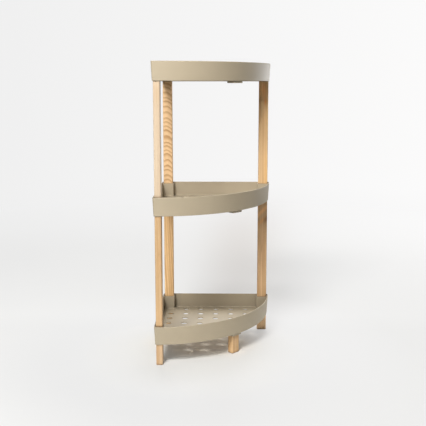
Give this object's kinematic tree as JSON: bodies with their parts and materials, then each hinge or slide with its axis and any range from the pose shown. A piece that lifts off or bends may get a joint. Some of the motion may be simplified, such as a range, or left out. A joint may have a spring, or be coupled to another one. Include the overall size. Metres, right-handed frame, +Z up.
{
  "type": "corner shelf",
  "caption": "Free-standing corner shelf: quarter-round plastic trays with raised rims and drained floors, stacked on rectangular wooden posts in corner sleeves, on short wooden legs.",
  "frame": {"origin": "on the ground, under the middle of the outline seen from above", "axes": "+Z up; +X to the right and -Y to the viewer; the trays' square corner is at -X +Y and the curved front faces +X -Y"},
  "size_m": [0.2898, 0.2898, 0.727],
  "materials": {
    "tray_plastic": "fine matte moulded surface, warm taupe",
    "post_wood": "light hardwood, sanded smooth, clear satin finish",
    "screw_steel": "zinc plated"
  },
  "bodies": {
    "root": {"tray_bottom": "tray_plastic", "tray_middle": "tray_plastic", "tray_top": "tray_plastic", "post_lower_back": "post_wood", "post_lower_left": "post_wood", "post_lower_right": "post_wood", "post_upper_back": "post_wood", "post_upper_left": "post_wood", "post_upper_right": "post_wood", "leg_back": "post_wood", "leg_left": "post_wood", "leg_right": "post_wood", "front_foot": "post_wood", "tray_screws_bottom": "screw_steel", "tray_screws_middle": "screw_steel", "tray_screws_top": "screw_steel"}
  },
  "joints": []
}
